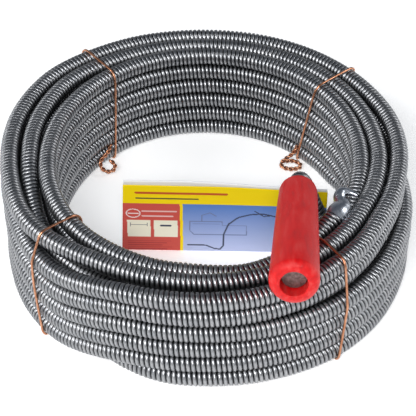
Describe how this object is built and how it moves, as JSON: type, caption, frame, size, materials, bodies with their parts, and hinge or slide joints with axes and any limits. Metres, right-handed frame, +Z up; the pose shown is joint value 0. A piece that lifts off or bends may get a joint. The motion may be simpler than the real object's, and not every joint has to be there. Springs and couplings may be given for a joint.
{
  "type": "drain auger",
  "caption": "Hand drain auger: hollow sprung steel cable in a wire-tied coil, hooked head on one end, formed crank with a free-turning plastic grip on the other, folded card inside.",
  "frame": {"origin": "on the floor, at the bottom centre of the whole object's box", "axes": "+Z up, the coil's axis; -Y towards the grip's free end; +X to the head's side"},
  "size_m": [0.1982, 0.2309, 0.0813],
  "materials": {
    "zinc_spring": "zinc-plated spring wire, satin",
    "steel_rod": "plain drawn steel",
    "bright_zinc": "bright zinc plate",
    "red_grip": "moulded, satin with a fine grain",
    "copper_wire": "bare soft copper wire",
    "printed_card": "printed in flat colours, semi-gloss"
  },
  "bodies": {
    "auger": {"cable_coil": "zinc_spring", "cable_lead_head": "zinc_spring", "cable_lead_crank": "zinc_spring", "crank": "zinc_spring", "crank_core": "steel_rod", "end_cap": "bright_zinc", "grip_washer": "bright_zinc", "stop_collar": "bright_zinc", "auger_head": "bright_zinc", "tie_front_right": "copper_wire", "tie_front_left": "copper_wire", "tie_back_left": "copper_wire", "tie_back_right": "copper_wire", "label_card": "printed_card"},
    "handle": {"grip": "red_grip"}
  },
  "joints": [
    {"name": "grip_spin", "type": "hinge", "parent": "auger", "child": "handle", "pos_m": [0.0436, -0.0324, 0.058], "axis": [-0.0758, -0.9848, 0.1564], "continuous": true}
  ]
}
